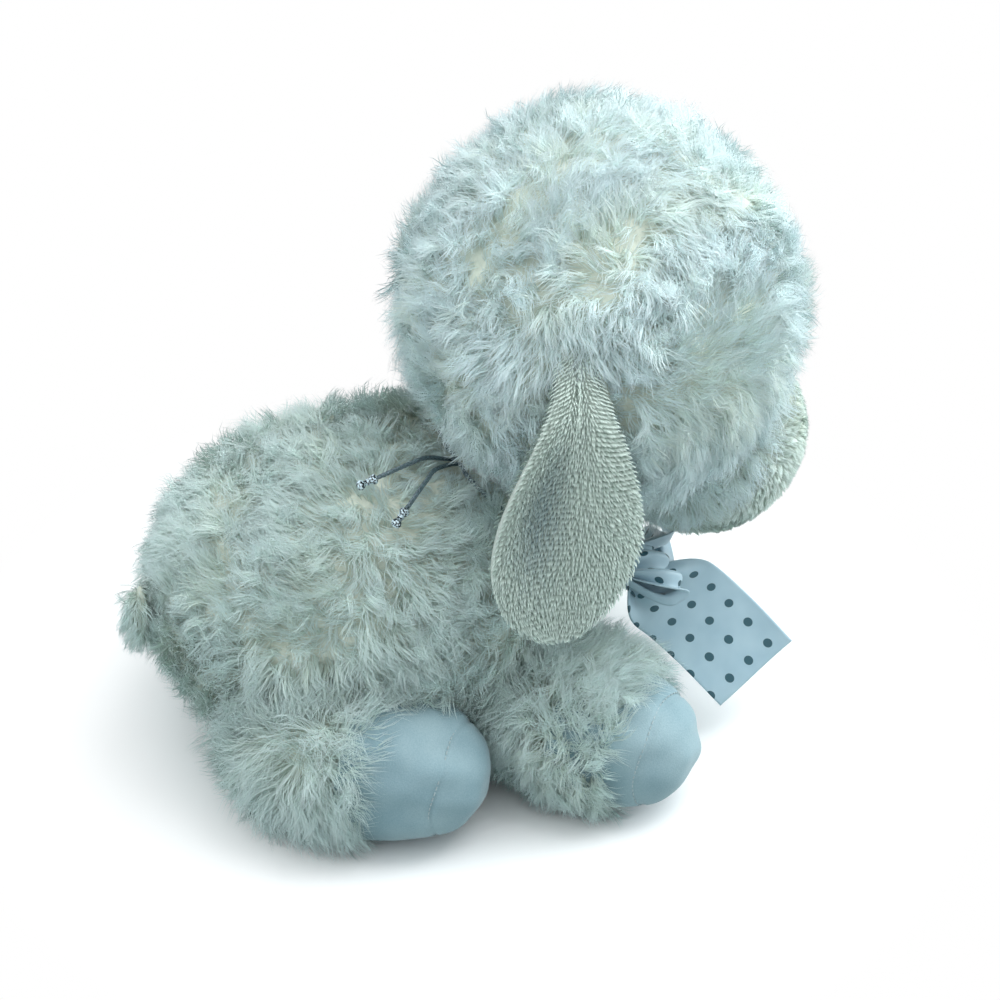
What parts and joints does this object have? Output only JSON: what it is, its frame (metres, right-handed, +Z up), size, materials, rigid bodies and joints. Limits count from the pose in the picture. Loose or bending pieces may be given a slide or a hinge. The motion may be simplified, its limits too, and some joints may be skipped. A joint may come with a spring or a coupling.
{
  "type": "plush sheep",
  "caption": "Soft stuffed sheep lying on its belly, long fluffy pile, bowed round head, hanging velour ears, smooth feet, silver neck elastic with a satin bow",
  "frame": {"origin": "on the floor, under the middle of the sheep's bounding box", "axes": "+Z up, the sheep faces -Y, its left side is +X"},
  "size_m": [0.1332, 0.177, 0.1659],
  "materials": {
    "long_pile": "cream-white long curly plush pile",
    "short_pile": "short ribbed cream pile",
    "foot_velour": "smooth pale velour with a sewn seam",
    "filling": "white polyester fibre filling",
    "satin": "pale satin ribbon, bare",
    "silver_thread": "silver covered round elastic",
    "silver_metal": "bright crimped metal",
    "eye_plastic": "glossy black",
    "thread": "brown embroidery thread"
  },
  "bodies": {
    "body": {"body_skin": "long_pile", "body_filling": "filling", "neck_elastic": "silver_thread", "barb_left": "silver_metal", "barb_right": "silver_metal", "ribbon_knot": "satin", "ribbon_loop_left": "satin", "ribbon_loop_right": "satin", "ribbon_end_left": "satin", "ribbon_end_right": "satin"},
    "neck": {"neck_filling": "filling"},
    "head": {"head_skin": "long_pile", "head_filling": "filling", "face_panel": "short_pile", "face_filling": "filling", "eye_left": "eye_plastic", "eye_right": "eye_plastic", "eye_washer_left": "eye_plastic", "eye_washer_right": "eye_plastic", "nose": "thread", "mouth_thread": "thread"},
    "ear_left": {"ear_left": "short_pile", "ear_lining_left": "short_pile"},
    "ear_right": {"ear_right": "short_pile", "ear_lining_right": "short_pile"},
    "leg_hind_left": {"leg_hind_left": "long_pile", "foot_hind_left": "foot_velour", "leg_filling_hind_left": "filling"},
    "leg_hind_right": {"leg_hind_right": "long_pile", "foot_hind_right": "foot_velour", "leg_filling_hind_right": "filling"},
    "leg_front_left": {"leg_front_left": "long_pile", "foot_front_left": "foot_velour", "leg_filling_front_left": "filling"},
    "leg_front_right": {"leg_front_right": "long_pile", "foot_front_right": "foot_velour", "leg_filling_front_right": "filling"},
    "tail": {"tail": "long_pile"}
  },
  "joints": [
    {"name": "head_turn", "type": "hinge", "parent": "body", "child": "neck", "pos_m": [0, -0.00963, 0.0664], "axis": [0, -0.4436, 0.8962], "range_deg": [-8, 8], "stiffness_Nm_per_rad": 0.05},
    {"name": "head_nod", "type": "hinge", "parent": "neck", "child": "head", "pos_m": [0, -0.00963, 0.0664], "axis": [-1, 0, 0], "range_deg": [0, 12]},
    {"name": "ear_left_lift", "type": "hinge", "parent": "head", "child": "ear_left", "pos_m": [0.04123, -0.01513, 0.1329], "axis": [0, -1, 0], "range_deg": [0, 60]},
    {"name": "ear_right_lift", "type": "hinge", "parent": "head", "child": "ear_right", "pos_m": [-0.04123, -0.01513, 0.1329], "axis": [0, 1, 0], "range_deg": [0, 60]},
    {"name": "hind_left_swing", "type": "hinge", "parent": "body", "child": "leg_hind_left", "pos_m": [0.02454, 0.06387, 0.02], "axis": [0, 0, 1], "range_deg": [0, 10], "stiffness_Nm_per_rad": 0.02},
    {"name": "hind_right_swing", "type": "hinge", "parent": "body", "child": "leg_hind_right", "pos_m": [-0.02454, 0.06387, 0.02], "axis": [0, 0, -1], "range_deg": [0, 10], "stiffness_Nm_per_rad": 0.02},
    {"name": "front_left_swing", "type": "hinge", "parent": "body", "child": "leg_front_left", "pos_m": [0.03418, 0.00487, 0.0185], "axis": [0, 0, -1], "range_deg": [0, 5], "stiffness_Nm_per_rad": 0.02},
    {"name": "front_right_swing", "type": "hinge", "parent": "body", "child": "leg_front_right", "pos_m": [-0.03418, 0.00487, 0.0185], "axis": [0, 0, 1], "range_deg": [0, 5], "stiffness_Nm_per_rad": 0.02},
    {"name": "tail_lift", "type": "hinge", "parent": "body", "child": "tail", "pos_m": [0, 0.07863, 0.054], "axis": [1, 0, 0], "range_deg": [0, 30]}
  ]
}
